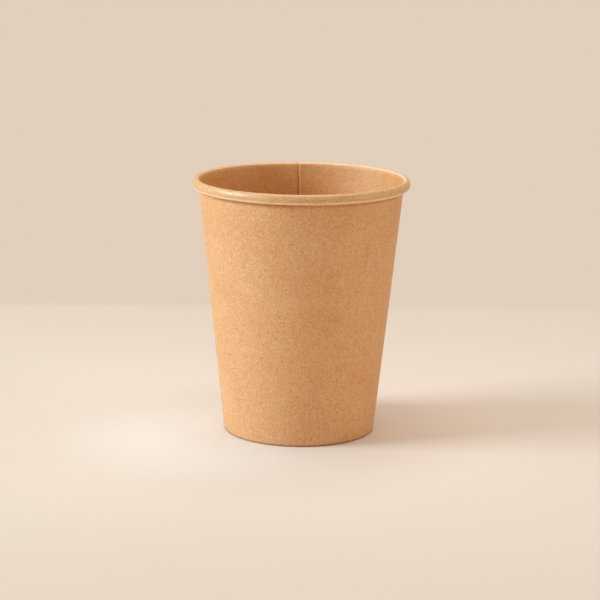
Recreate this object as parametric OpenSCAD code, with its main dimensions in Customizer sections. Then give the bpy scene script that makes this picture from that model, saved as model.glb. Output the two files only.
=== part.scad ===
// Single-wall paper coffee cup with a rolled rim: one rolled wall blank and one drawn bottom disc.
// Millimetres. The foot rests on z = 0, the axis is Z, the side seam lies at the back (+Y).
// The wall is one section of board, curled and folded, turned about the axis. A second layer of
// the same section is kept where the two ends of the blank overlap, and steps out over the first.

/* [Overall] */
// Outside diameter over the rolled rim
rim_d = 80; // [72:1:92]
// Height from the resting plane to the top of the rim
cup_h = 94.4; // [76:0.1:120]
// Diameter of the wall's outer face, carried down to the resting plane
base_d = 56; // [50:1:62]

/* [Paperboard] */
// Thickness of the wall board
board = 0.4; // [0.3:0.01:0.5]
// Thickness of the bottom board
disc_board = 0.4; // [0.3:0.01:0.5]
// Clearance on each side of the clamped skirt
skirt_play = 0.02; // [0.01:0.01:0.1]

/* [Rolled rim] */
// Width of the roll, from the wall's inner face to the outermost line
roll_w = 2.7; // [2.3:0.1:3.2]
// Height of the roll
roll_h = 3.7; // [3.3:0.1:4.6]
// Radius of the roll's top and bottom curves as a share of half its width
roll_nose = 0.85; // [0.78:0.01:0.92]
// Turn of the tucked edge inside the roll, from the lowest point (degrees)
tuck_turn = 150; // [100:5:165]
// Clearance between the tucked edge and the wall
tuck_gap = 0.05; // [0.03:0.01:0.15]

/* [Side seam] */
// Width over which the two ends of the blank overlap
lap_w = 7; // [4:0.5:10]
// Width over which the outer layer steps out over the inner one
step_w = 3; // [2:0.5:4]

/* [Foot] */
// Height of the bottom's underside above the resting plane
recess_h = 7; // [5:0.5:10]
// Clearance between the hem's cut edge and the start of the bottom's bend
hem_gap = 0.5; // [0.3:0.1:2]
// Clearance between the skirt's cut edge and the start of the fold
skirt_gap = 0.4; // [0.2:0.1:1]
// Depth by which the fold is pressed flat where it stands
foot_press = 0.1; // [0.05:0.01:0.16]
// Outer radius of the bend between the bottom and its skirt
bend_r = 0.9; // [0.7:0.1:1.5]

/* [Hidden] */
$fn = 96;
// largest turn between two points of a curve in the section (degrees)
chord_turn = 10;

// roll: an oval of four arcs, half width half_w and half height half_h
half_w = roll_w / 2;
half_h = roll_h / 2;
nose_r = roll_nose * half_w;
side_r = (half_w * half_w + (half_h - nose_r) * (half_h - nose_r) - nose_r * nose_r)
    / (2 * (half_w - nose_r));
side_turn = atan2(half_h - nose_r, side_r - half_w);
roll_c = [rim_d / 2 - half_w, cup_h - half_h];
side_in_c = roll_c + [side_r - half_w, 0];
side_out_c = roll_c - [side_r - half_w, 0];
nose_up_c = roll_c + [0, half_h - nose_r];
nose_low_c = roll_c - [0, half_h - nose_r];

// wall: its outer face starts at foot_p, its inner face is tangent to the roll
foot_p = [base_d / 2, 0];
reach = side_in_c - foot_p;
lean = acos((side_r - board) / norm(reach)) - atan2(reach[1], reach[0]);
run = [sin(lean), cos(lean)];
inward = [-cos(lean), sin(lean)];
wall_top = reach * run;

// tucked edge: tangent to the roll's lowest point, clear of the wall's outer face
tuck_r = ((roll_c[0] - foot_p[0]) * cos(lean) - (roll_c[1] - half_h) * sin(lean) - tuck_gap)
    / (1 + sin(lean));
tuck_c = roll_c + [0, tuck_r - half_h];

// foot: the skirt's slot, the fold around it and the hem behind it
slot = disc_board + 2 * skirt_play;
fold_r = slot / 2 + board;
fold_z = fold_r - foot_press;
fold_u = (fold_z - (board + slot / 2) * inward[1]) / run[1];
fold_c = at(board + slot / 2, fold_u);
bend_z = recess_h + disc_board - bend_r;
skirt_in = board + skirt_play;
bend_u = (bend_z - (skirt_in + bend_r) * inward[1]) / run[1];
bend_c = at(skirt_in + bend_r, bend_u);
hem_top = bend_u - hem_gap;

// seam: distances from the axis in the plane square to the wall, and the sag of the curve
face_v = foot_p[0] * cos(lean) - board;
hem_v = face_v - slot - board;
past = 1;
wall_r = face_v + wall_top / 2 * tan(lean);
wall_sag = wall_r - sqrt(wall_r * wall_r - step_w * step_w);
hem_sag = hem_v - sqrt(hem_v * hem_v - step_w * step_w);
wall_rise = (board + wall_sag) / step_w;
hem_rise = (board - hem_sag) / step_w;
ease = 0.02;
tall = cup_h + 20;

kraft = [0.76, 0.56, 0.37];
kraft_dark = [0.68, 0.48, 0.31];

// point at a depth behind the wall's outer face and a run up the wall
function at(depth, up) = foot_p + depth * inward + up * run;

// direction at an angle
function dir(angle) = [cos(angle), sin(angle)];

// points of an arc about c, without its first point when it follows on from another
function arc(c, r, a0, a1, first = 1) =
    let (n = ceil(abs(a1 - a0) / chord_turn))
    [for (i = [first : n]) c + r * dir(a0 + (a1 - a0) * i / n)];

function reversed(points) = [for (i = [len(points) - 1 : -1 : 0]) points[i]];

// line at a distance s from the wall's inner face: hem, fold, wall, over the roll to its lowest point
function wall_line(s) = concat(
    [at(board + slot + s, hem_top)],
    arc(fold_c, slot / 2 + s, 180 - lean, 360 - lean, 0),
    arc(side_in_c, side_r - s, 180 - lean, 180 - side_turn, 0),
    arc(nose_up_c, nose_r - s, 180 - side_turn, side_turn),
    arc(side_out_c, side_r - s, side_turn, 0),
    arc(side_out_c, side_r - s, 0, -side_turn),
    arc(nose_low_c, nose_r - s, -side_turn, -90)
);

// line at a distance s from the same face along the tucked edge
function tuck_line(s) = arc(tuck_c, tuck_r - s, -90, -90 - tuck_turn);

// a closed section turned about the axis, nothing below the resting plane
module turned(near_line, far_line) {
    rotate_extrude() intersection() {
        polygon(concat(near_line, reversed(far_line)));
        square([rim_d, tall]);
    }
}

// the sheet, from the hem's cut edge to the tucked edge
module first_layer() {
    turned(concat(wall_line(0), tuck_line(0)), concat(wall_line(board), tuck_line(board)));
}

// the second thickness outside it, cut to the seam where it is used
module second_layer() {
    turned(wall_line(board), wall_line(2 * board));
}

// prism between two runs up the wall, leaning with it at the back, on a plan square to it
module leaning_prism(up0, up1, plan) {
    rotate([-lean, 0, 0]) translate([0, 0, foot_p[0] * sin(lean) + up0])
        linear_extrude(up1 - up0) polygon(plan);
}

// where the second layer lies flat on the first
module lap_zone() {
    cube([lap_w, rim_d, tall]);
}

// where the outer layer steps out over the first
module step_zone() {
    hem_side = hem_v - board - ease;
    face_side = face_v + 2 * board + ease;
    leaning_prism(-tall, tall, [
        [0, hem_side],
        [0, face_side],
        [-step_w - past, face_side - wall_rise * (step_w + past)],
        [-step_w - past, hem_side + hem_rise * (step_w + past)],
    ]);
}

// hollow left inside where the outer layer steps away from the inner cut edge
module step_hollow() {
    face_side = face_v + board + ease;
    leaning_prism(bend_u + bend_r + past, tall, [
        [0, hem_v],
        [0, face_side],
        [-step_w - past, face_side - wall_rise * (step_w + past)],
        [-step_w - past, hem_v],
    ]);
}

module side_wall() {
    color(kraft) difference() {
        union() {
            first_layer();
            intersection() {
                second_layer();
                union() {
                    lap_zone();
                    step_zone();
                }
            }
        }
        step_hollow();
    }
}

// line at a distance s from the bottom's upper and outer face, from the axis to the skirt's cut edge
function disc_line(s) = concat(
    [[0, recess_h + disc_board - s]],
    arc(bend_c, bend_r - s, 90, -lean, 0),
    [at(skirt_in + s, fold_u + skirt_gap)]
);

module bottom_disc() {
    color(kraft_dark) turned(disc_line(0), disc_line(disc_board));
}

side_wall();
bottom_disc();
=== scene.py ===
"""A plain kraft paper coffee cup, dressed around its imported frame.

The side wall is one sheet of board that is rolled into a cone, lapped at the back, curled outward
at the rim and folded in at the foot. The bottom is a drawn disc whose skirt the fold clamps.
Lengths are worked out in millimetres, as in the part's source, and the meshes are in metres.
"""

from __future__ import annotations

import logging
import math
from dataclasses import dataclass, field
from enum import Enum
from typing import Union
import bpy
import numpy as np
from mathutils import Matrix, Vector


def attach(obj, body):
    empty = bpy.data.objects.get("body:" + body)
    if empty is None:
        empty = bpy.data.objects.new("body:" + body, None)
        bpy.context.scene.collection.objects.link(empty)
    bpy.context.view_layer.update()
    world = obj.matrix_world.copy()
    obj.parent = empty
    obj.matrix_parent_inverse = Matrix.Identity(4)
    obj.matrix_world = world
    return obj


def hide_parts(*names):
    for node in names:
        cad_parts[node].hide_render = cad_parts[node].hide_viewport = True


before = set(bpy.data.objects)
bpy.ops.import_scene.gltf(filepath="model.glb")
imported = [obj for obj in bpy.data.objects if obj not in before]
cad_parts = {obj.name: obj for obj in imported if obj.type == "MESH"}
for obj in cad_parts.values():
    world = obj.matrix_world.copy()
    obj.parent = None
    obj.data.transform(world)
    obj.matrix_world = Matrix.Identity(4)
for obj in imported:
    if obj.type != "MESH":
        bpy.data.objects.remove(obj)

log = logging.getLogger("paper_cup")
MM = 0.001
TURN = 2 * math.pi
QUARTER = math.pi / 2
Colour = tuple[float, float, float]
Place = tuple[float, float, float]
Span = tuple[float, float]
# what a node's input is given: another node's output, or a plain number
Socket = Union[bpy.types.NodeSocket, float]


class Face(Enum):
    """Which surface of the board a mesh face belongs to; the value is its material index."""

    INSIDE = 0
    OUTSIDE = 1
    CUT = 2
    LAP = 3


class Lie(Enum):
    """How a board's fibre pattern runs: round the axis, or straight across."""

    ROLLED = "rolled"
    FLAT = "flat"


class Zone(Enum):
    """Stretch of the wall board's section, from the hem's cut edge to the tucked edge."""

    HEM = 0
    FOLD = 1
    WALL = 2
    CURL = 3
    TUCK = 4


def smooth(value: np.ndarray | float, low: float, high: float) -> np.ndarray:
    """Ease from 0 at low to 1 at high, and hold both beyond."""
    share = np.clip((np.asarray(value, float) - low) / (high - low), 0.0, 1.0)
    return share * share * (3.0 - 2.0 * share)


def direction(angle: float) -> np.ndarray:
    """Unit vector in the section plane at an angle in radians."""
    return np.array([math.cos(angle), math.sin(angle)])


# The board's section


@dataclass
class CurledSection:
    """Section of the wall board, with the sizes that the part's source drives, in millimetres.

    The curl's rows are counted for the roll's inner side, its top, its outer side and its underside.
    """

    rim_d: float = 80.0
    cup_h: float = 94.4
    base_d: float = 56.0
    board: float = 0.4
    disc_board: float = 0.4
    skirt_play: float = 0.02
    roll_w: float = 2.7
    roll_h: float = 3.7
    roll_nose: float = 0.85
    tuck_turn: float = 150.0
    tuck_gap: float = 0.05
    recess_h: float = 7.0
    hem_gap: float = 0.5
    skirt_gap: float = 0.4
    foot_press: float = 0.1
    bend_r: float = 0.9
    hem_rows: int = 9
    fold_rows: int = 16
    wall_rows: int = 36
    curl_rows: tuple[int, int, int, int] = (4, 12, 8, 6)
    tuck_rows: int = 10

    def __post_init__(self) -> None:
        """Work out the lean of the wall and the centres that everything else hangs on."""
        half_w = self.roll_w / 2
        half_h = self.roll_h / 2
        self.nose_r = self.roll_nose * half_w
        rise = half_h - self.nose_r
        self.side_r = (half_w**2 + rise**2 - self.nose_r**2) / (2 * (half_w - self.nose_r))
        self.side_turn = math.atan2(rise, self.side_r - half_w)
        self.roll_c = np.array([self.rim_d / 2 - half_w, self.cup_h - half_h])
        shift = np.array([self.side_r - half_w, 0.0])
        self.side_in_c = self.roll_c + shift
        self.side_out_c = self.roll_c - shift
        self.nose_up_c = self.roll_c + [0.0, rise]
        self.nose_low_c = self.roll_c - [0.0, rise]
        self.foot_p = np.array([self.base_d / 2, 0.0])
        reach = self.side_in_c - self.foot_p
        self.lean = math.acos((self.side_r - self.board) / math.hypot(*reach))
        self.lean -= math.atan2(reach[1], reach[0])
        self.run = np.array([math.sin(self.lean), math.cos(self.lean)])
        self.inward = np.array([-math.cos(self.lean), math.sin(self.lean)])
        self.wall_top = float(reach @ self.run)
        low = self.roll_c[1] - half_h
        across = (self.roll_c[0] - self.foot_p[0]) * math.cos(self.lean)
        self.tuck_r = (across - low * math.sin(self.lean) - self.tuck_gap) / (1 + math.sin(self.lean))
        self.tuck_c = np.array([self.roll_c[0], low + self.tuck_r])
        self.slot = self.disc_board + 2 * self.skirt_play
        fold_r = self.slot / 2 + self.board
        fold_z = fold_r - self.foot_press
        self.fold_u = (fold_z - (self.board + self.slot / 2) * self.inward[1]) / self.run[1]
        self.fold_c = self.at(self.board + self.slot / 2, self.fold_u)
        bend_z = self.recess_h + self.disc_board - self.bend_r
        self.skirt_in = self.board + self.skirt_play
        self.bend_u = (bend_z - (self.skirt_in + self.bend_r) * self.inward[1]) / self.run[1]
        self.bend_c = self.at(self.skirt_in + self.bend_r, self.bend_u)
        self.hem_top = self.bend_u - self.hem_gap

    def at(self, depth: float, up: float) -> np.ndarray:
        """Point at a depth behind the wall's outer face and a run up the wall."""
        return self.foot_p + depth * self.inward + up * self.run

    def rows(self) -> tuple[np.ndarray, np.ndarray, np.ndarray]:
        """Sample the sheet's inner face from the hem's cut edge to the tucked edge.

        Returns:
            The points, the unit steps from the inner face into the board, and each row's Zone value.
        """
        points: list[np.ndarray] = []
        steps: list[np.ndarray] = []
        zones: list[int] = []

        def straight(depth: float, ups: np.ndarray, step: np.ndarray, zone: Zone) -> None:
            """Add rows along a straight run.

            Args:
                depth: How far behind the wall's outer face the run lies.
                ups: Runs up the wall.
                step: Unit step into the board.
                zone: Zone of the rows.
            """
            for up in ups:
                points.append(self.at(depth, float(up)))
                steps.append(step)
                zones.append(zone.value)

        def arc(centre: np.ndarray, radius: float, start: float, end: float, count: int,
                zone: Zone, into: float = -1.0) -> None:
            """Add rows along an arc, without its first point.

            Args:
                centre: Centre of the arc.
                radius: Radius of the sheet's inner face there.
                start: First angle in radians.
                end: Last angle in radians.
                count: How many rows to add.
                zone: Zone of the rows.
                into: 1 where the board lies outside the arc, -1 where it lies inside.
            """
            for index in range(1, count + 1):
                way = direction(start + (end - start) * index / count)
                points.append(centre + radius * way)
                steps.append(into * way)
                zones.append(zone.value)

        half_turn = TURN / 2
        turn = self.side_turn
        hem_ups = np.linspace(self.hem_top, self.fold_u, self.hem_rows)
        wall_ups = np.linspace(self.fold_u, self.wall_top, self.wall_rows + 1)[1:]
        inner, top, outer, under = self.curl_rows
        tuck_end = -QUARTER - math.radians(self.tuck_turn)
        straight(self.board + self.slot, hem_ups, self.inward, Zone.HEM)
        arc(self.fold_c, self.slot / 2, half_turn - self.lean, TURN - self.lean, self.fold_rows,
            Zone.FOLD, 1.0)
        straight(self.board, wall_ups, -self.inward, Zone.WALL)
        arc(self.side_in_c, self.side_r, half_turn - self.lean, half_turn - turn, inner, Zone.CURL)
        arc(self.nose_up_c, self.nose_r, half_turn - turn, turn, top, Zone.CURL)
        arc(self.side_out_c, self.side_r, turn, -turn, outer, Zone.CURL)
        arc(self.nose_low_c, self.nose_r, -turn, -QUARTER, under, Zone.CURL)
        arc(self.tuck_c, self.tuck_r, -QUARTER, tuck_end, self.tuck_rows, Zone.TUCK)
        return np.array(points), np.array(steps), np.array(zones)


# Node tools


class NodeBench:
    """Short calls for laying out the nodes of one material or world."""

    def __init__(self, tree: bpy.types.NodeTree, material: bpy.types.Material | None = None) -> None:
        """Empty a node tree to lay it out anew.

        Args:
            tree: The nodes of a material or a world.
            material: The material that they belong to.
        """
        self.tree = tree
        self.material = material
        self.tree.nodes.clear()

    @classmethod
    def new(cls, name: str) -> NodeBench:
        """Start a material.

        Args:
            name: The material's name.

        Returns:
            The bench for its nodes.
        """
        material = bpy.data.materials.new(name)
        material.use_nodes = True
        return cls(material.node_tree, material)

    def add(self, kind: str, inputs: dict | None = None, **settings: object) -> bpy.types.Node:
        """Add a node.

        Args:
            kind: Blender's name for the node type.
            inputs: Values or output sockets by input name or index.
            **settings: Properties of the node itself.

        Returns:
            The new node.
        """
        node = self.tree.nodes.new(kind)
        for key, value in settings.items():
            setattr(node, key, value)
        for key, value in (inputs or {}).items():
            if isinstance(value, bpy.types.NodeSocket):
                self.tree.links.new(value, node.inputs[key])
            else:
                node.inputs[key].default_value = value
        return node

    def maths(self, operation: str, first: Socket, second: Socket = 0.0) -> Socket:
        """Combine two numbers and return the output socket."""
        return self.add("ShaderNodeMath", {0: first, 1: second}, operation=operation).outputs[0]

    def total(self, values: tuple[Socket, ...], shares: tuple[float, ...]) -> Socket:
        """Add numbers up, each by its share.

        Args:
            values: Sockets of the numbers.
            shares: The share of each.

        Returns:
            The sum's socket.
        """
        parts = [self.maths("MULTIPLY", value, share) for value, share in zip(values, shares)]
        whole = parts[0]
        for part in parts[1:]:
            whole = self.maths("ADD", whole, part)
        return whole

    def spread(self, value: Socket, span: Span, to: Span = (0.0, 1.0)) -> Socket:
        """Map a number smoothly from one range to another.

        Args:
            value: Socket of the number.
            span: The range that it comes from, beyond which it is held.
            to: The range that it goes to.

        Returns:
            The mapped number's socket.
        """
        inputs = {"Value": value, "From Min": span[0], "From Max": span[1], "To Min": to[0], "To Max": to[1]}
        node = self.add("ShaderNodeMapRange", inputs, interpolation_type="SMOOTHSTEP")
        return node.outputs["Result"]

    def turned(self, vector: Socket, angle: float) -> Socket:
        """Turn a vector in the plane of the board and return the output socket."""
        inputs = {"Vector": vector, "Angle": angle}
        return self.add("ShaderNodeVectorRotate", inputs, rotation_type="Z_AXIS").outputs[0]

    def blend(self, share: Socket, first: Socket | Colour, second: Socket | Colour) -> Socket:
        """Mix two colours.

        Args:
            share: How much of the second colour to take.
            first: The first colour or its socket.
            second: The second colour or its socket.

        Returns:
            The mixed colour's socket.
        """
        node = self.add("ShaderNodeMix", {"Factor": share}, data_type="RGBA")
        sides = [socket for socket in node.inputs if socket.type == "RGBA"]
        for socket, value in zip(sides, (first, second)):
            if isinstance(value, bpy.types.NodeSocket):
                self.tree.links.new(value, socket)
            else:
                socket.default_value = (*value, 1.0)
        return next(socket for socket in node.outputs if socket.type == "RGBA")

    def finish(self, shader: Socket) -> bpy.types.Material:
        """Join a shader to the output and return the material."""
        self.add("ShaderNodeOutputMaterial", {"Surface": shader})
        return self.material


@dataclass(frozen=True)
class Pattern:
    """Noise field; its scale is in waves to the metre, and the stretch multiplies it by direction."""

    scale: float
    detail: float = 2.0
    rough: float = 0.5
    bend: float = 0.0
    stretch: tuple[float, float, float] | None = None

    def lay(self, bench: NodeBench, vector: Socket) -> Socket:
        """Read the pattern.

        Args:
            bench: The material being laid out.
            vector: Socket of the coordinates in metres.

        Returns:
            The pattern's socket, from 0 to 1.
        """
        if self.stretch is not None:
            inputs = {0: vector, 1: self.stretch}
            vector = bench.add("ShaderNodeVectorMath", inputs, operation="MULTIPLY").outputs[0]
        inputs = {"Vector": vector, "Scale": self.scale, "Detail": self.detail}
        inputs |= {"Roughness": self.rough, "Distortion": self.bend}
        return bench.add("ShaderNodeTexNoise", inputs).outputs["Fac"]


PULP_GRAIN = Pattern(2950.0, 2.0, 0.60, 0.7, (0.78, 1.18, 1.0))
PULP_CLOUDS = Pattern(420.0, 3.0, 0.55, stretch=(1.0, 0.7, 1.0))
PULP_DRIFT = Pattern(60.0)
FIBRE_STRANDS = Pattern(1.0, 1.0, 0.5, 0.5, (560.0, 3400.0, 3400.0))
BARK_FLECKS = Pattern(1300.0, 1.0, 0.4, stretch=(1.0, 1.5, 1.0))
CURL_STREAKS = Pattern(1.0, 3.0, 0.65, stretch=(620.0, 1700.0, 1700.0))
EDGE_FUZZ = Pattern(2400.0, 3.0, 0.7)
EDGE_LAYERS = Pattern(1.0, stretch=(6000.0, 6000.0, 260.0))
FLOOR_CLOUDS = Pattern(9.0, 3.0)


# Finishes


@dataclass(frozen=True)
class PaintedLightRing:
    """Ring of painted shade or painted highlight, blended into the board's colour; lengths in millimetres.

    The core is the share of the reach within which the ring has its full colour.
    """

    radius: float
    height: float
    reach: float
    share: float
    colour: Colour
    core: float = 0.25

    def lay(self, bench: NodeBench, radius: Socket, height: Socket, patchy: Socket, under: Socket) -> Socket:
        """Blend the ring's painted shade or highlight over another colour.

        Args:
            bench: The material being laid out.
            radius: Socket of the distance from the axis.
            height: Socket of the height.
            patchy: Socket of how strongly the painted ring shows at each spot.
            under: Socket of the colour beneath.

        Returns:
            The blended colour's socket.
        """
        across = bench.maths("POWER", bench.maths("SUBTRACT", radius, self.radius * MM), 2.0)
        along = bench.maths("POWER", bench.maths("SUBTRACT", height, self.height * MM), 2.0)
        off = bench.maths("SQRT", bench.maths("ADD", across, along))
        share = bench.spread(off, (self.core * self.reach * MM, self.reach * MM), (self.share, 0.0))
        return bench.blend(bench.maths("MULTIPLY", share, patchy), under, self.colour)


@dataclass(frozen=True)
class KraftFinish:
    """Unprinted kraft board: fibre specks, soft clouds and a fine tooth, with any ring marks of painted
    shade and painted highlight.

    Lengths are in millimetres and angles in degrees. Each span is the stretch of a pattern over which
    its effect sets in. The tone's shares are those of grain, clouds and drift, and the relief's are
    those of grain, fibres and clouds.
    """

    name: str
    base: Colour
    dark: Colour
    light: Colour
    roughness: float
    gloss: float = 0.5
    lie: Lie = Lie.ROLLED
    wall_radius: float = 34.0
    tone_shares: tuple[float, float, float] = (0.77, 0.13, 0.10)
    tone_span: Span = (0.395, 0.605)
    fibre_angles: tuple[float, ...] = (8.0, 67.0, 128.0)
    fibre_span: Span = (0.60, 0.78)
    fibre_share: float = 0.5
    bark: Colour = (0.46, 0.19, 0.05)
    bark_span: Span = (0.66, 0.80)
    bark_share: float = 0.7
    cloud_span: Span = (0.3, 0.7)
    rough_swing: float = 0.06
    relief_shares: tuple[float, float, float] = (0.6, 0.5, 0.5)
    relief_depth: float = 0.08
    tooth: float = 0.15
    rim: Colour | None = None
    rim_from: float = 37.9
    rim_to: float = 38.6
    rim_shade: float = 0.66
    rim_polish: float = 0.15
    worn_span: Span = (0.36, 0.64)
    worn_shares: Span = (0.30, 0.90)
    painted_rings: tuple[PaintedLightRing, ...] = ()
    painted_ring_span: Span = (0.30, 0.60)
    painted_ring_shares: Span = (0.55, 1.0)

    def board_vector(self, bench: NodeBench) -> tuple[Socket, Socket, Socket]:
        """Lay out coordinates that follow the board as it lies.

        Args:
            bench: The material being laid out.

        Returns:
            The sockets of the vector, of the distance from the axis and of the height, in metres.
        """
        point = bench.add("ShaderNodeTexCoord").outputs["Object"]
        across, depth, height = bench.add("ShaderNodeSeparateXYZ", {0: point}).outputs
        squares = bench.maths("ADD", bench.maths("POWER", across, 2.0), bench.maths("POWER", depth, 2.0))
        radius = bench.maths("SQRT", squares)
        if self.lie is Lie.FLAT:
            return point, radius, height
        turn = bench.maths("ARCTAN2", across, bench.maths("MULTIPLY", depth, -1.0))
        round_it = bench.maths("MULTIPLY", turn, self.wall_radius * MM)
        vector = bench.add("ShaderNodeCombineXYZ", {0: round_it, 1: height, 2: radius}).outputs[0]
        return vector, radius, height

    def curled(self, bench: NodeBench, radius: Socket, worn: Socket, tone: Socket, colour: Socket,
               rough: Socket) -> tuple[Socket, Socket]:
        """Grey and polish the rim, where the curl has stretched the board.

        Args:
            bench: The material being laid out.
            radius: Socket of the distance from the axis.
            worn: Socket of how far each streak is greyed.
            tone: Socket of the board's tone.
            colour: Socket of the board's colour.
            rough: Socket of the board's roughness.

        Returns:
            The sockets of the colour and the roughness with the rim in them.
        """
        share = bench.spread(radius, (self.rim_from * MM, self.rim_to * MM))
        shade = tuple(self.rim_shade * part for part in self.rim)
        grey = bench.blend(tone, shade, self.rim)
        colour = bench.blend(bench.maths("MULTIPLY", share, worn), colour, grey)
        return colour, bench.maths("SUBTRACT", rough, bench.maths("MULTIPLY", share, self.rim_polish))

    def material(self) -> bpy.types.Material:
        """Build the finish.

        Returns:
            The material.
        """
        bench = NodeBench.new(self.name)
        vector, radius, height = self.board_vector(bench)
        grain = PULP_GRAIN.lay(bench, vector)
        clouds = PULP_CLOUDS.lay(bench, vector)
        drift = PULP_DRIFT.lay(bench, vector)
        flecks = BARK_FLECKS.lay(bench, vector)
        streaks = CURL_STREAKS.lay(bench, vector)
        fibres = 0.0
        for angle in self.fibre_angles:
            strands = FIBRE_STRANDS.lay(bench, bench.turned(vector, math.radians(angle)))
            fibres = bench.maths("MAXIMUM", strands, fibres)

        # pale fibres lie every way over the toned board, and a little brown bark stays in the pulp
        tone = bench.spread(bench.total((grain, clouds, drift), self.tone_shares), self.tone_span)
        colour = bench.blend(tone, self.dark, self.base)
        pale = bench.spread(fibres, self.fibre_span, (0.0, self.fibre_share))
        colour = bench.blend(pale, colour, self.light)
        bark = bench.spread(flecks, self.bark_span, (0.0, self.bark_share))
        colour = bench.blend(bark, colour, self.bark)

        # the tools leave streaks round the rim; ring marks of painted shade and painted highlight go on in
        # patches
        swing = (self.roughness - self.rough_swing, self.roughness + self.rough_swing)
        rough = bench.spread(clouds, self.cloud_span, swing)
        if self.rim is not None:
            worn = bench.spread(streaks, self.worn_span, self.worn_shares)
            colour, rough = self.curled(bench, radius, worn, tone, colour, rough)
        patchy = bench.spread(streaks, self.painted_ring_span, self.painted_ring_shares)
        for ring in self.painted_rings:
            colour = ring.lay(bench, radius, height, patchy, colour)

        relief = bench.total((grain, fibres, clouds), self.relief_shares)
        inputs = {"Strength": self.tooth, "Distance": self.relief_depth * MM, "Height": relief}
        bump = bench.add("ShaderNodeBump", inputs)
        shader = bench.add("ShaderNodeBsdfPrincipled", {
            "Base Color": colour,
            "Roughness": rough,
            "Specular IOR Level": self.gloss,
            "Normal": bump.outputs[0],
        })
        return bench.finish(shader.outputs[0])


@dataclass(frozen=True)
class RawEdgeFinish:
    """Cut edge of the board: pale core with layers of pressed fibre along it."""

    name: str
    core: Colour
    shade: Colour
    shares: tuple[float, float] = (0.5, 0.5)
    tone_span: Span = (0.35, 0.65)
    fuzz_span: Span = (0.3, 0.7)
    roughness: Span = (0.80, 0.92)
    tooth: float = 0.5
    relief_depth: float = 0.05

    def material(self) -> bpy.types.Material:
        """Build the finish.

        Returns:
            The material.
        """
        bench = NodeBench.new(self.name)
        point = bench.add("ShaderNodeTexCoord").outputs["Object"]
        fuzz = EDGE_FUZZ.lay(bench, point)
        pressed = bench.total((fuzz, EDGE_LAYERS.lay(bench, point)), self.shares)
        colour = bench.blend(bench.spread(pressed, self.tone_span), self.shade, self.core)
        inputs = {"Strength": self.tooth, "Distance": self.relief_depth * MM, "Height": pressed}
        bump = bench.add("ShaderNodeBump", inputs)
        rough = bench.spread(fuzz, self.fuzz_span, self.roughness)
        inputs = {"Base Color": colour, "Roughness": rough, "Normal": bump.outputs[0]}
        return bench.finish(bench.add("ShaderNodeBsdfPrincipled", inputs).outputs[0])


# painted shade: a darker ring on the wall in the crease under the roll
PAINTED_SHADE_UNDER_ROLL = PaintedLightRing(37.45, 90.5, 1.6, 0.75, (0.47, 0.21, 0.07))
# painted shade: a dark ring along the foot's fold, standing in for its contact shadow
PAINTED_SHADE_AT_FOOT = PaintedLightRing(27.9, 0.0, 1.05, 0.9, (0.30, 0.14, 0.05))
# painted highlight: a pale ring along the roll's inner crest
PAINTED_HIGHLIGHT_ON_CREST = PaintedLightRing(37.95, 94.25, 0.55, 0.80, (0.96, 0.72, 0.48))
# painted highlight: a pale ring along the roll's lower outer turn, standing in for bounce light from the
# floor
PAINTED_HIGHLIGHT_ON_ROLL_TURN = PaintedLightRing(39.5, 91.35, 0.75, 0.90, (0.95, 0.68, 0.42))

KRAFT_OUTSIDE = KraftFinish(
    name="kraft_outside",
    base=(0.83, 0.475, 0.228),
    dark=(0.645, 0.283, 0.095),
    light=(0.93, 0.66, 0.40),
    roughness=0.62,
    painted_rings=(PAINTED_SHADE_UNDER_ROLL, PAINTED_SHADE_AT_FOOT),
)
KRAFT_INSIDE = KraftFinish(
    name="kraft_inside",
    base=(0.80, 0.424, 0.148),
    dark=(0.612, 0.247, 0.060),
    light=(0.90, 0.61, 0.33),
    roughness=0.60,
    gloss=0.80,
    rim=(0.84, 0.508, 0.252),
    painted_rings=(PAINTED_HIGHLIGHT_ON_CREST, PAINTED_HIGHLIGHT_ON_ROLL_TURN),
)
KRAFT_BOTTOM = KraftFinish(
    name="kraft_bottom",
    base=(0.79, 0.435, 0.195),
    dark=(0.64, 0.305, 0.112),
    light=(0.90, 0.60, 0.34),
    roughness=0.54,
    lie=Lie.FLAT,
)
RAW_EDGE = RawEdgeFinish(name="kraft_cut_edge", core=(0.90, 0.64, 0.38), shade=(0.72, 0.44, 0.22))
LAP_EDGE = RawEdgeFinish(name="kraft_lap_edge", core=(0.87, 0.51, 0.235), shade=(0.80, 0.43, 0.17))


# Mesh tools


def mesh_object(name: str, points: np.ndarray, quads: np.ndarray, faces: np.ndarray,
                finishes: list[bpy.types.Material], crease: float = 42.0) -> bpy.types.Object:
    """Make a smooth-shaded object from points and quads.

    Args:
        name: Name of the piece.
        points: Vertex positions in millimetres.
        quads: Vertex indices of each quad; a quad may repeat its last index to be a triangle.
        faces: Material index of each quad.
        finishes: The piece's materials.
        crease: Angle in degrees past which an edge stays sharp.

    Returns:
        The linked object.
    """
    mesh = bpy.data.meshes.new(name)
    loops = [quad[:3] if quad[2] == quad[3] else quad for quad in quads.tolist()]
    mesh.from_pydata((points * MM).tolist(), [], loops)
    mesh.polygons.foreach_set("use_smooth", np.ones(len(loops), bool))
    mesh.polygons.foreach_set("material_index", faces.astype(np.int32))
    for finish in finishes:
        mesh.materials.append(finish)
    mesh.update()
    mesh.set_sharp_from_angle(angle=math.radians(crease))
    mesh.validate()
    piece = bpy.data.objects.new(name, mesh)
    bpy.context.scene.collection.objects.link(piece)
    return piece


def report(piece: bpy.types.Object) -> None:
    """Log a piece's name, faces and size."""
    size = " x ".join(f"{edge / MM:.1f}" for edge in piece.dimensions)
    log.info("%s: %d faces, %s mm", piece.name, len(piece.data.polygons), size)


# Side wall


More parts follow.
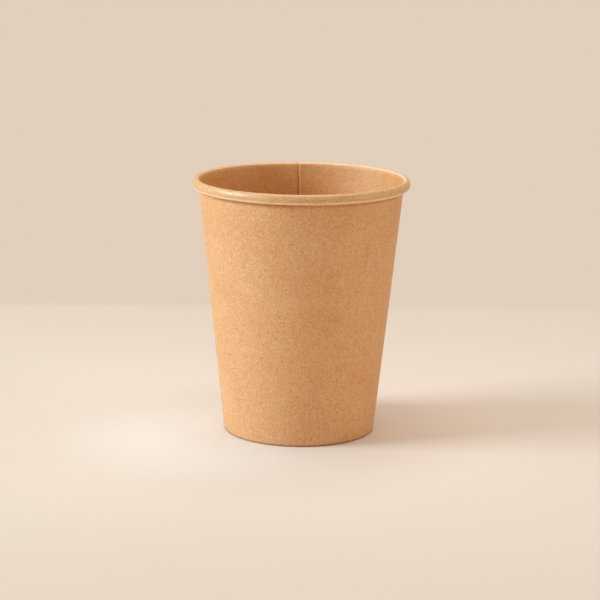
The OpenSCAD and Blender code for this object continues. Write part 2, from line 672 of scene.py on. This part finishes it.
@dataclass(frozen=True)
class Ripple:
    """Wave round the axis by which the sheet isn't quite true; its depth is in millimetres."""

    depth: float
    waves: int
    phase: float = 0.0

    def at(self, turn: np.ndarray, lead: np.ndarray | float = 0.0) -> np.ndarray:
        """Height of the wave at each turn, with its phase led by an angle in radians."""
        return self.depth * np.sin(self.waves * turn + self.phase + lead)


@dataclass
class SideWall:
    """The rolled blank: seam, rim and foot are all one sheet of board.

    Lengths are in millimetres. A distance past a cut edge runs round the cup, negative before it.
    The columns in start_w stand from the inner cut edge on, and those in seam_w stand about the same
    line one turn later, where the outer layer rides over it. Presses and bevels are shares of the
    board's thickness, the knurl starts and ends at shares of the hem's height, and knurl_lapped is
    the share of its depth that it loses in the lap's outer layer.
    """

    section: CurledSection
    lap_w: float = 7.0
    lap_fade: float = 2.5
    layer_gap: float = 0.012
    groove_w: float = 1.0
    ridge_w: float = 2.6
    edge_clear: float = 0.15
    seam_turn: float = math.radians(-1.3)
    free_columns: int = 330
    edge_bevel_w: float = 0.42
    edge_bevel: float = 0.45
    end_bevel_w: float = 0.3
    end_bevel: float = 0.3
    crevice: float = 0.16
    crevice_heights: Span = (2.0, 9.0)
    crevice_opens: Span = (-0.7, -0.1)
    crevice_closes: Span = (0.3, 1.4)
    rim_press: float = 0.62
    rim_heights: Span = (87.4, 90.4)
    fold_press: float = 0.62
    fold_heights: Span = (0.6, 3.0)
    knurl_count: int = 48
    knurl_depth: float = 0.14
    knurl_starts: Span = (0.12, 0.3)
    knurl_ends: Span = (0.75, 0.92)
    knurl_lapped: float = 0.5
    tuck_shift: float = 0.21
    tuck_eases: Span = (-4.5, -2.3)
    tuck_ease_rows: int = 5
    oval: tuple[Ripple, ...] = (Ripple(0.10, 2, 0.7 + QUARTER), Ripple(0.05, 3, 2.1 + QUARTER))
    oval_heights: Span = (15.0, 94.0)
    swell: tuple[Ripple, ...] = (Ripple(0.020, 13, 0.4), Ripple(0.016, 29, 1.9), Ripple(0.010, 61))
    panel: Ripple = Ripple(0.03, 5)
    panel_climb: float = 23.0
    panel_starts: Span = (10.0, 40.0)
    panel_ends: Span = (84.0, 90.0)
    start_w: tuple[float, ...] = (
        0.0, 0.07, 0.14, 0.21, 0.28, 0.35, 0.42, 0.7, 1.2, 2.0, 3.4, 5.2, 6.5, 6.8, 7.0, 7.3, 8.2, 9.6,
    )
    seam_w: tuple[float, ...] = (
        -6.0, -4.5, -3.2, -2.3, -1.7, -1.3, -1.05, -0.95, -0.85, -0.75, -0.65, -0.55, -0.45,
        -0.35, -0.25, -0.15, -0.05, 0.0, 0.14, 0.42, 0.7, 1.2, 2.0, 3.4, 5.2, 6.5, 6.8, 7.0,
    )

    def press(self, zones: np.ndarray, heights: np.ndarray) -> np.ndarray:
        """Say how far the lapped layers are squeezed together on each row.

        Args:
            zones: Zone value of each row.
            heights: Height of each row.

        Returns:
            The thickness share that each layer keeps.
        """
        share = np.ones(len(zones))
        curled = 1.0 - (1.0 - self.rim_press) * smooth(heights, *self.rim_heights)
        share = np.where(zones >= Zone.WALL.value, curled, share)
        share = np.where(zones == Zone.TUCK.value, self.rim_press, share)
        low = 1.0 - (1.0 - self.fold_press) * (1.0 - smooth(heights, *self.fold_heights))
        share = np.where(zones <= Zone.WALL.value, np.minimum(share, low), share)
        return share

    def columns(self, radii: np.ndarray) -> tuple[np.ndarray, np.ndarray, np.ndarray]:
        """Place the columns that run up the sheet, from the inner cut edge round to the outer one.

        Args:
            radii: Radius of each row.

        Returns:
            The turn of each row and column, the distance past the inner cut edge, and the distance
            past the same line one turn later; both distances are in millimetres.
        """
        start = np.array(self.start_w)[None, :] / radii[:, None]
        seam = TURN + np.array(self.seam_w)[None, :] / radii[:, None]
        share = np.linspace(0.0, 1.0, self.free_columns + 2)[1:-1]
        first, last = start[:, -1:], seam[:, :1]
        free = first + (last - first) * share[None, :]
        turn = np.concatenate([start, free, seam], axis=1)
        return turn, turn * radii[:, None], (turn - TURN) * radii[:, None]

    def unevenness(self, turn: np.ndarray, heights: np.ndarray, zones: np.ndarray,
                   tucked: np.ndarray) -> tuple[np.ndarray, np.ndarray]:
        """Give the sheet the slight want of truth that a rolled cup has.

        Args:
            turn: Turn of each row and column.
            heights: Height of each row.
            zones: Zone value of each row.
            tucked: How far along the tucked edge each row lies, from 0 to 1.

        Returns:
            The shift away from the axis and the shift along the board's inner face normal.
        """
        rise = smooth(heights, *self.oval_heights)[:, None]
        out = rise * sum(ripple.at(turn) for ripple in self.oval)
        rolled = (zones >= Zone.CURL.value) * (1.0 - tucked)
        swell = sum(ripple.at(turn) for ripple in self.swell) * rolled[:, None]
        level = smooth(heights, *self.panel_starts) * (1.0 - smooth(heights, *self.panel_ends))
        level = level * (zones == Zone.WALL.value)
        panel = self.panel.at(turn, heights[:, None] / self.panel_climb) * level[:, None]
        return out, swell + panel

    def knurl(self, turn: np.ndarray, heights: np.ndarray, zones: np.ndarray) -> np.ndarray:
        """Roll the knurl into the hem's inner face, which grips the skirt behind it.

        Args:
            turn: Turn of each row and column.
            heights: Height of each row.
            zones: Zone value of each row.

        Returns:
            The depth of the knurl at each row and column.
        """
        hem = heights[zones == Zone.HEM.value]
        along = np.clip((heights - hem.min()) / np.ptp(hem), 0.0, 1.0)
        band = smooth(along, *self.knurl_starts) * (1.0 - smooth(along, *self.knurl_ends))
        band = band * (zones == Zone.HEM.value)
        return self.knurl_depth * band[:, None] * (0.5 + 0.5 * np.cos(self.knurl_count * turn))

    def build(self) -> bpy.types.Object:
        """Build the sheet as one closed mesh and dress it.

        Returns:
            The piece, which stands for the CAD node.
        """
        points, steps, zones = self.section.rows()
        board = self.section.board
        radii, heights = points[:, 0], points[:, 1]
        keep = self.press(zones, heights)[:, None]
        turn, past, lapped = self.columns(radii)

        # the outer layer steps out over the inner cut edge, with a crevice left open beside it
        in_lap = 1.0 - smooth(past, self.lap_w, self.lap_w + self.lap_fade)
        stepped = smooth(lapped, -self.groove_w, -self.edge_clear)
        ridge = smooth(lapped, -self.ridge_w, -self.edge_clear)
        open_lap = smooth(heights, *self.crevice_heights) * (1.0 - smooth(heights, *self.rim_heights))
        open_lap = open_lap * (zones == Zone.WALL.value)
        gape = smooth(lapped, *self.crevice_opens) * (1.0 - smooth(lapped, *self.crevice_closes))
        thick = board * (1.0 - (1.0 - keep) * np.maximum(in_lap, stepped))
        bevel = self.edge_bevel * thick * (1.0 - smooth(past, 0.0, self.edge_bevel_w))
        lift = board * keep + self.layer_gap
        near = bevel + stepped * lift + self.crevice * open_lap[:, None] * gape
        far = near - bevel + thick + (ridge - stepped) * lift
        far = far - self.end_bevel * thick * smooth(lapped, self.lap_w - self.end_bevel_w, self.lap_w)

        # the tucked edge draws in where it passes the lap's second layer
        tucked = smooth(np.cumsum(zones == Zone.TUCK.value), 0, self.tuck_ease_rows)
        drawn_in = self.tuck_shift * tucked[:, None] * np.maximum(in_lap, smooth(lapped, *self.tuck_eases))
        near, far = near + drawn_in, far + drawn_in
        far = far - self.knurl(turn, heights, zones) * (1.0 - self.knurl_lapped * stepped)

        out, swell = self.unevenness(turn, heights, zones, tucked)
        shells = []
        for offset in (near - swell, far - swell):
            radius = radii[:, None] + offset * steps[:, :1] + out
            height = np.maximum(heights[:, None] + offset * steps[:, 1:], 0.0)
            angle = turn + self.seam_turn
            shells.append(np.stack([radius * np.sin(angle), radius * np.cos(angle), height], axis=-1))
        return self.stitch(np.stack(shells))

    def stitch(self, shells: np.ndarray) -> bpy.types.Object:
        """Join the two faces of the board along its four cut edges.

        Args:
            shells: Points of the inner and the outer face, by face, row and column.

        Returns:
            The finished piece.
        """
        _, rows, cols, _ = shells.shape
        near, far = np.arange(2 * rows * cols).reshape(2, rows, cols)

        def patch(grid: np.ndarray, flip: bool) -> np.ndarray:
            """Lay quads over a grid of vertices.

            Args:
                grid: Vertex indices by row and column.
                flip: Whether the quads face the other way.

            Returns:
                The vertex indices of each quad.
            """
            corners = [grid[:-1, :-1], grid[:-1, 1:], grid[1:, 1:], grid[1:, :-1]]
            quads = np.stack([corner.ravel() for corner in corners], axis=1)
            return quads[:, ::-1] if flip else quads

        # the inner face's bevelled columns are cut edge, seen in the lap
        bevelled = self.start_w.index(self.edge_bevel_w)
        parts = [
            (patch(near[:, :bevelled + 1], False), Face.LAP),
            (patch(near[:, bevelled:], False), Face.INSIDE),
            (patch(far, True), Face.OUTSIDE),
            (patch(np.stack([near[0], far[0]]), True), Face.CUT),
            (patch(np.stack([near[-1], far[-1]]), False), Face.CUT),
            (patch(np.stack([near[:, 0], far[:, 0]]), False), Face.CUT),
            (patch(np.stack([near[:, -1], far[:, -1]]), True), Face.CUT),
        ]
        quads = np.concatenate([part for part, _ in parts])
        faces = np.concatenate([np.full(len(part), face.value) for part, face in parts])
        finishes = [finish.material() for finish in (KRAFT_INSIDE, KRAFT_OUTSIDE, RAW_EDGE, LAP_EDGE)]
        piece = mesh_object("rolled_wall_sheet", shells.reshape(-1, 3), quads, faces, finishes)
        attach(piece, "root")
        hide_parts("side_wall")
        return piece


# Bottom disc


@dataclass
class BottomDisc:
    """The drawn bottom: a flat plate, a tight bend and a skirt in the foot's slot.

    Lengths are in millimetres. The plate's radii stop next to the axis, where a hub closes it, and
    the puckers lie in a ring between the radii and above the height that are given.
    """

    section: CurledSection
    columns: int = 256
    plate_radii: tuple[float, ...] = (0.6, 3.0, 6.0, 10.0, 14.0, 18.0, 21.0, 23.5, 25.2)
    bend_rows: int = 8
    skirt_rows: int = 6
    dome: float = 0.15
    pucker_count: int = 64
    pucker: float = 0.03
    pucker_starts: Span = (24.6, 26.4)
    pucker_ends: Span = (26.9, 27.6)
    pucker_heights: Span = (5.9, 6.6)

    def line(self, inset: float) -> list[np.ndarray]:
        """Section points of one face, from next to the axis to the skirt's cut edge.

        Args:
            inset: Distance below the upper and outer face.

        Returns:
            The points as radius and height.
        """
        cup = self.section
        top = cup.recess_h + cup.disc_board - inset
        plate = [np.array([radius, top]) for radius in self.plate_radii]
        angles = np.linspace(QUARTER, -cup.lean, self.bend_rows + 1)
        bend = [cup.bend_c + (cup.bend_r - inset) * direction(float(angle)) for angle in angles]
        ups = np.linspace(cup.bend_u, cup.fold_u + cup.skirt_gap, self.skirt_rows + 1)[1:]
        return plate + bend + [cup.at(cup.skirt_in + inset, float(up)) for up in ups]

    def shape(self, profile: np.ndarray) -> np.ndarray:
        """Turn the section about the axis, bow the plate and pucker the bend.

        Args:
            profile: Section points as radius and height.

        Returns:
            The points by row and column.
        """
        turn = np.arange(self.columns) * TURN / self.columns
        radius = np.repeat(profile[:, :1], self.columns, axis=1)
        height = np.repeat(profile[:, 1:], self.columns, axis=1)
        bowed = self.dome * (1.0 - np.clip(radius / self.plate_radii[-1], 0.0, 1.0) ** 2)
        edge = smooth(radius, *self.pucker_starts) * (1.0 - smooth(radius, *self.pucker_ends))
        edge = edge * smooth(height, *self.pucker_heights)
        puckers = self.pucker * edge * (0.5 + 0.5 * np.cos(self.pucker_count * turn))[None, :]
        return np.stack([radius * np.sin(turn), radius * np.cos(turn), height + bowed - puckers], axis=-1)

    def build(self) -> bpy.types.Object:
        """Build the disc as one closed mesh and dress it.

        Returns:
            The piece, which stands for the CAD node.
        """
        upper = self.line(0.0)
        lower = self.line(self.section.disc_board)
        points = self.shape(np.array(upper + lower[::-1]))
        rows = len(points)
        grid = np.arange(rows * self.columns).reshape(rows, self.columns)
        ahead = np.roll(grid, -1, axis=1)
        quads = np.stack([grid[:-1], ahead[:-1], ahead[1:], grid[1:]], axis=-1).reshape(-1, 4)
        faces = np.full((rows - 1, self.columns), Face.INSIDE.value)
        faces[len(upper):] = Face.OUTSIDE.value
        faces[len(upper) - 1] = Face.CUT.value

        # a hub in the middle of each side closes it with triangles
        hubs = np.array([[0.0, 0.0, points[0, 0, 2]], [0.0, 0.0, points[-1, 0, 2]]])
        top_hub, low_hub = np.repeat([[grid.size], [grid.size + 1]], self.columns, axis=1)
        top = np.stack([top_hub, ahead[0], grid[0], grid[0]], axis=1)
        low = np.stack([low_hub, grid[-1], ahead[-1], ahead[-1]], axis=1)
        quads = np.concatenate([quads, top, low])
        ends = [np.full(self.columns, Face.INSIDE.value), np.full(self.columns, Face.OUTSIDE.value)]
        faces = np.concatenate([faces.ravel(), *ends])
        finishes = [finish.material() for finish in (KRAFT_BOTTOM, KRAFT_BOTTOM, RAW_EDGE)]
        points = np.concatenate([points.reshape(-1, 3), hubs])
        piece = mesh_object("drawn_bottom", points, quads, faces, finishes)
        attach(piece, "root")
        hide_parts("bottom_disc")
        return piece


# Studio


@dataclass(frozen=True)
class Softbox:
    """One square lamp; places and size in metres, power in watts."""

    name: str
    place: Place
    aim: Place
    size: float
    power: float
    tint: Colour

    def build(self) -> None:
        """Hang the lamp and turn it to its aim."""
        lamp = bpy.data.lights.new(self.name, "AREA")
        lamp.shape = "SQUARE"
        lamp.size = self.size
        lamp.energy = self.power
        lamp.color = self.tint
        holder = bpy.data.objects.new(self.name, lamp)
        holder.location = self.place
        way = Vector(self.aim) - Vector(self.place)
        holder.rotation_mode = "QUATERNION"
        holder.rotation_quaternion = way.to_track_quat("-Z", "Y")
        bpy.context.scene.collection.objects.link(holder)


@dataclass
class Studio:
    """Floor, pale background, lamps and the photograph's camera.

    The floor's lengths are in metres. It dims with the distance from the cup and ends at a soft edge,
    on a square with rounded corners, where the background starts; corner is the power that rounds it.
    The camera's place and sensor are in millimetres, its angles in degrees and its clip in metres.
    """

    floor_half: float = 3.0
    floor_colour: Colour = (0.83, 0.705, 0.600)
    floor_shade: float = 0.96
    floor_roughness: float = 0.9
    floor_gloss: float = 0.2
    # a painted pool of light on the floor beside the foot
    painted_pool_colour: Colour = (0.94, 0.865, 0.79)
    painted_pool_at: Place = (-0.032, -0.016, 0.0)
    painted_pool_span: Span = (0.01, 0.070)
    distance_colour: Colour = (0.76, 0.625, 0.50)
    dim_from: float = 0.04
    dim_share: float = 0.55
    edge_from: float = 0.196
    edge_to: float = 0.214
    corner: float = 6.0
    ambient: float = 0.315
    ambient_tint: Colour = (1.0, 0.89, 0.74)
    camera_back: float = 725.0
    camera_up: float = 208.3
    pitch: float = 12.43
    roll: float = 0.617
    focal_px: float = 2000.0
    image_px: float = 600.0
    sensor: float = 36.0
    clip: Span = (0.01, 50.0)
    lamps: list[Softbox] = field(default_factory=lambda: [
        Softbox("window", (-1.60, -0.29, 0.73), (0.0, 0.0, 0.045), 0.70, 25.8, (0.835, 1.03, 1.17)),
        Softbox("ceiling", (0.12, 0.12, 1.20), (0.0, 0.0, 0.0), 1.0, 8.6, (1.0, 0.97, 0.93)),
        Softbox("card", (0.95, -0.35, 0.16), (0.0, 0.0, 0.04), 0.3, 1.40, (1.0, 0.92, 0.80)),
    ])

    def seen_directly(self, bench: NodeBench) -> Socket:
        """Lay out a share that is 1 for what the camera, a gloss or a pane sees.

        Args:
            bench: The material or world being laid out.

        Returns:
            The share's socket.
        """
        path = bench.add("ShaderNodeLightPath").outputs
        seen = bench.maths("MAXIMUM", path["Is Camera Ray"], path["Is Glossy Ray"])
        return bench.maths("MAXIMUM", seen, path["Is Transmission Ray"])

    def distant(self, bench: NodeBench, point: Socket) -> Socket:
        """Lay out how far the floor has turned into the background.

        Args:
            bench: The material being laid out.
            point: Socket of the place on the floor.

        Returns:
            The share's socket.
        """
        across, depth, _ = bench.add("ShaderNodeSeparateXYZ", {0: point}).outputs
        sides = [bench.maths("ABSOLUTE", part) for part in (across, depth)]
        powers = [bench.maths("POWER", side, self.corner) for side in sides]
        away = bench.maths("POWER", bench.maths("ADD", *powers), 1.0 / self.corner)
        dimmed = bench.spread(away, (self.dim_from, self.edge_from), (0.0, self.dim_share))
        edge = bench.spread(away, (self.edge_from, self.edge_to), (0.0, 1.0 - self.dim_share))
        return bench.maths("ADD", dimmed, edge)

    def floor_finish(self) -> bpy.types.Material:
        """Build the pale floor, with a painted pool of light on the window's side of the foot.

        Returns:
            The material.
        """
        bench = NodeBench.new("pale_floor")
        point = bench.add("ShaderNodeTexCoord").outputs["Object"]
        darker = tuple(self.floor_shade * part for part in self.floor_colour)
        colour = bench.blend(FLOOR_CLOUDS.lay(bench, point), darker, self.floor_colour)
        # painted light: a paler pool on the floor beside the foot
        apart = bench.add("ShaderNodeVectorMath", {0: point, 1: self.painted_pool_at}, operation="DISTANCE")
        pool = bench.spread(apart.outputs["Value"], self.painted_pool_span, (1.0, 0.0))
        card = bench.add("ShaderNodeBsdfPrincipled", {
            "Base Color": bench.blend(pool, colour, self.painted_pool_colour),
            "Roughness": self.floor_roughness,
            "Specular IOR Level": self.floor_gloss,
        })
        share = bench.maths("MULTIPLY", self.distant(bench, point), self.seen_directly(bench))
        glow = bench.add("ShaderNodeEmission", {"Color": (*self.distance_colour, 1.0), "Strength": 1.0})
        mixed = bench.add("ShaderNodeMixShader", {0: share, 1: card.outputs[0], 2: glow.outputs[0]})
        return bench.finish(mixed.outputs[0])

    def floor(self) -> None:
        """Lay the floor."""
        half = self.floor_half
        mesh = bpy.data.meshes.new("floor")
        corners = [(-half, -half, 0.0), (half, -half, 0.0), (half, half, 0.0), (-half, half, 0.0)]
        mesh.from_pydata(corners, [], [(0, 1, 2, 3)])
        mesh.materials.append(self.floor_finish())
        piece = bpy.data.objects.new("floor", mesh)
        bpy.context.scene.collection.objects.link(piece)

    def world(self) -> None:
        """Light the room evenly, and show the pale background past the floor."""
        room = bpy.data.worlds.new("room")
        room.use_nodes = True
        bench = NodeBench(room.node_tree)
        soft = bench.add("ShaderNodeBackground", {0: (*self.ambient_tint, 1.0), 1: self.ambient})
        seen = bench.add("ShaderNodeBackground", {0: (*self.distance_colour, 1.0), 1: 1.0})
        parts = {0: self.seen_directly(bench), 1: soft.outputs[0], 2: seen.outputs[0]}
        mixed = bench.add("ShaderNodeMixShader", parts)
        bench.add("ShaderNodeOutputWorld", {0: mixed.outputs[0]})
        bpy.context.scene.world = room

    def camera(self) -> None:
        """Stand the camera where the photograph was taken."""
        lens = bpy.data.cameras.new("photograph")
        lens.sensor_width = self.sensor
        lens.lens = self.focal_px / self.image_px * self.sensor
        lens.clip_start, lens.clip_end = self.clip
        holder = bpy.data.objects.new("photograph", lens)
        pitch, roll = math.radians(self.pitch), math.radians(self.roll)
        ahead = Vector((0.0, math.cos(pitch), -math.sin(pitch)))
        right = Vector((1.0, 0.0, 0.0))
        up = right.cross(ahead)
        side = right * math.cos(roll) + up * math.sin(roll)
        top = up * math.cos(roll) - right * math.sin(roll)
        turn = Matrix((side, top, -ahead)).transposed().to_4x4()
        holder.matrix_world = Matrix.Translation((0.0, -self.camera_back * MM, self.camera_up * MM)) @ turn
        bpy.context.scene.collection.objects.link(holder)
        bpy.context.scene.camera = holder

    def build(self) -> None:
        """Set up the whole studio."""
        self.floor()
        self.world()
        for lamp in self.lamps:
            lamp.build()
        self.camera()
        bpy.context.scene.view_settings.view_transform = "Standard"


def main() -> None:
    """Build the cup around its frame, then the studio."""
    logging.basicConfig(level=logging.INFO, format="%(name)s: %(message)s")
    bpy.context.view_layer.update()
    section = CurledSection()
    for piece in (SideWall(section).build(), BottomDisc(section).build()):
        report(piece)
    Studio().build()


if __name__ == "__main__":
    main()
